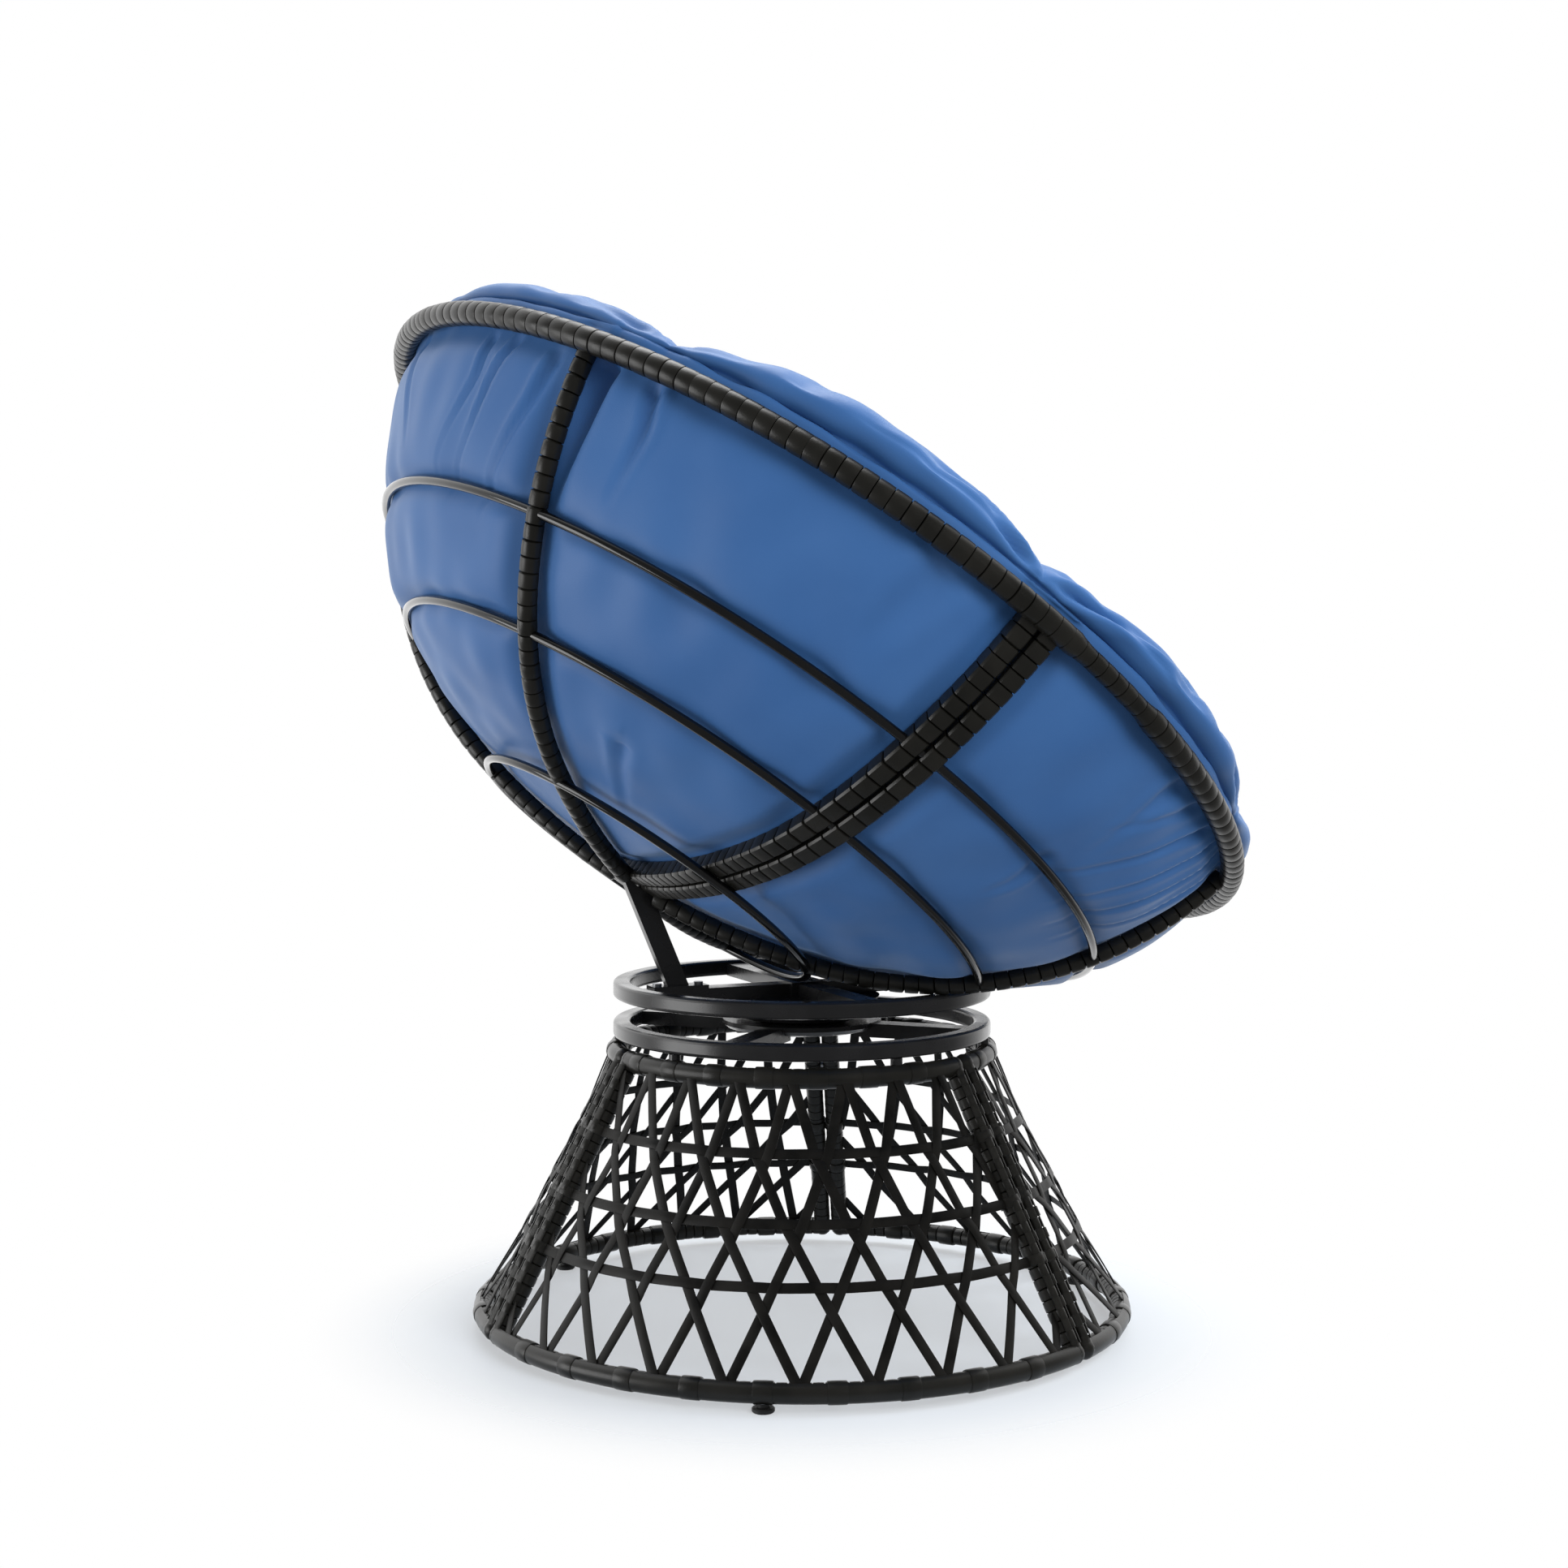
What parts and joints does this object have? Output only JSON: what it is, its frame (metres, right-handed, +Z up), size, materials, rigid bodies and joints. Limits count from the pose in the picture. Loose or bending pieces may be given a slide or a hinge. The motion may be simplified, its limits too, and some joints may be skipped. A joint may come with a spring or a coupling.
{
  "type": "swivel lounge chair",
  "caption": "Round padded lounge seat on a woven flared base; a tilted bowl of wrapped ribs and hoops carries a loose lobed cushion and turns on a ball bearing.",
  "frame": {"origin": "where the swivel axis meets the floor", "axes": "+Z up along the swivel axis; the sitter faces -Y; +X is the sitter's left"},
  "size_m": [0.865, 0.7138, 0.8724],
  "materials": {
    "wrapped_tube": "steel tube wound with black synthetic strip, satin",
    "strap": "black synthetic strap, satin, slightly mottled",
    "black_steel": "black powder coat, satin",
    "gloss_steel": "black coating, glossy",
    "zinc_steel": "zinc-plated",
    "cage_brass": "plain",
    "glide": "moulded",
    "cushion_cloth": "blue fine-grained upholstery cloth with a soft sheen"
  },
  "bodies": {
    "base": {"panel_frame_1": "wrapped_tube", "panel_frame_2": "wrapped_tube", "panel_frame_3": "wrapped_tube", "weave_right_1": "strap", "weave_right_2": "strap", "weave_right_3": "strap", "weave_left_1": "strap", "weave_left_2": "strap", "weave_left_3": "strap", "weave_bands_1": "strap", "weave_bands_2": "strap", "weave_bands_3": "strap", "leg_studs": "zinc_steel", "foot_inserts": "zinc_steel", "ring_spacers": "black_steel", "ring_screws": "zinc_steel", "lower_ring": "black_steel", "lower_spider": "black_steel", "lower_race": "zinc_steel", "thrust_washer": "zinc_steel"},
    "foot_1": {"foot_1": "glide"},
    "foot_2": {"foot_2": "glide"},
    "foot_3": {"foot_3": "glide"},
    "bearing_cage": {"bearing_balls": "zinc_steel", "ball_cage": "cage_brass"},
    "seat_frame": {"upper_race": "black_steel", "centre_bolt": "zinc_steel", "lock_nut": "zinc_steel", "upper_ring": "black_steel", "hub_block": "black_steel", "arm_front": "black_steel", "arm_rear": "black_steel", "arm_left": "black_steel", "arm_right": "black_steel", "stay": "black_steel", "stay_screws": "zinc_steel", "bowl_screws": "zinc_steel", "rim": "wrapped_tube", "rib_rear_left": "wrapped_tube", "rib_rear_right": "wrapped_tube", "rib_front_right": "wrapped_tube", "rib_front_left": "wrapped_tube", "side_rib_front": "wrapped_tube", "side_rib_rear": "wrapped_tube", "hoop_outer": "gloss_steel", "hoop_middle": "gloss_steel", "hoop_inner": "gloss_steel"},
    "cushion": {"cushion": "cushion_cloth"}
  },
  "joints": [
    {"name": "swivel", "type": "hinge", "parent": "base", "child": "seat_frame", "pos_m": [0, 0, 0.274], "axis": [0, 0, 1], "continuous": true},
    {"name": "cage_turn", "type": "hinge", "parent": "base", "child": "bearing_cage", "pos_m": [0, 0, 0.274], "axis": [0, 0, 1], "continuous": true},
    {"name": "cushion_lift", "type": "slide", "parent": "seat_frame", "child": "cushion", "axis": [0, -0.5934, 0.8049], "range_m": [0, 0.3]},
    {"name": "foot_1_screw", "type": "slide", "parent": "base", "child": "foot_1", "axis": [0, 0, -1], "range_m": [0, 0.008]},
    {"name": "foot_2_screw", "type": "slide", "parent": "base", "child": "foot_2", "axis": [0, 0, -1], "range_m": [0, 0.008]},
    {"name": "foot_3_screw", "type": "slide", "parent": "base", "child": "foot_3", "axis": [0, 0, -1], "range_m": [0, 0.008]}
  ],
  "couplings": [
    {"joint": "cage_turn", "follows": "swivel", "ratio": 0.5}
  ]
}
